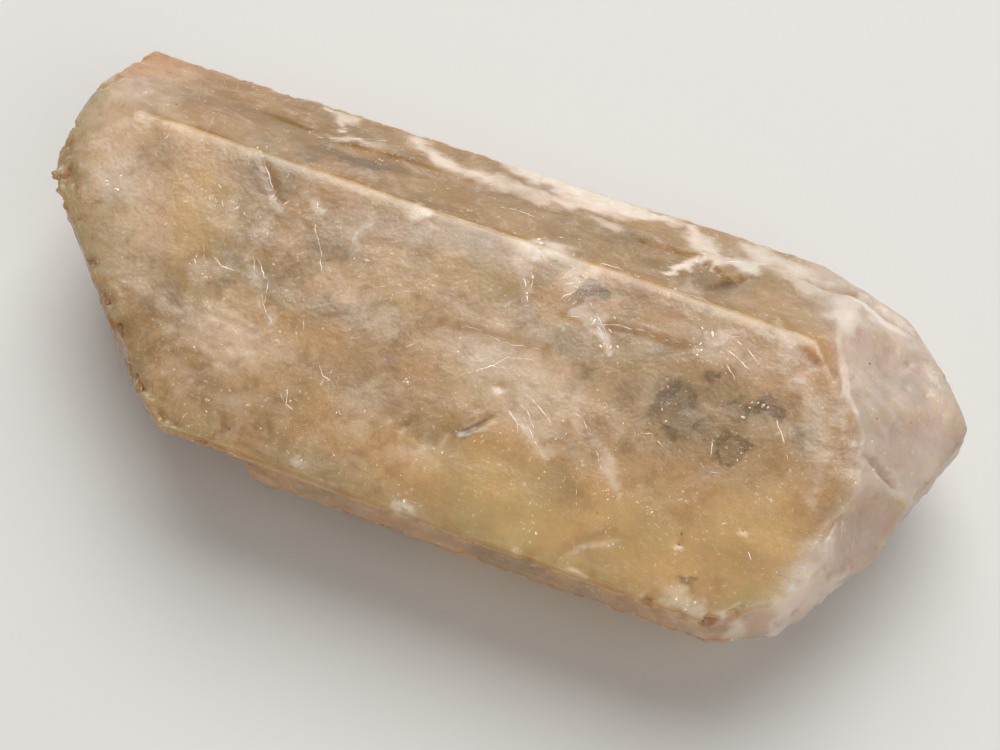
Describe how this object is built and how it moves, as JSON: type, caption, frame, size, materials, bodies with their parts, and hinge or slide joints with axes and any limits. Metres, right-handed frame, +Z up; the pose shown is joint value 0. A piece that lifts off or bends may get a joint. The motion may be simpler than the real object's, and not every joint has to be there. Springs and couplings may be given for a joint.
{
  "type": "baryte crystal",
  "caption": "Loose honey-coloured baryte crystal: a long bevelled prism with a broad tilted face, worn edges and two broken ends, lying on its flat basal face.",
  "frame": {"origin": "on the surface that the crystal lies on, under the middle of its box", "axes": "+X along the crystal's length, towards the scooped, frosted end; +Y towards the sloping back face; +Z up, square to the flat face that it rests on"},
  "size_m": [0.04, 0.0182, 0.0094],
  "materials": {
    "baryte": "honey-coloured translucent baryte with milky veils, inner cracks and a satin, lightly etched skin"
  },
  "bodies": {
    "root": {"crystal": "baryte"}
  },
  "joints": []
}
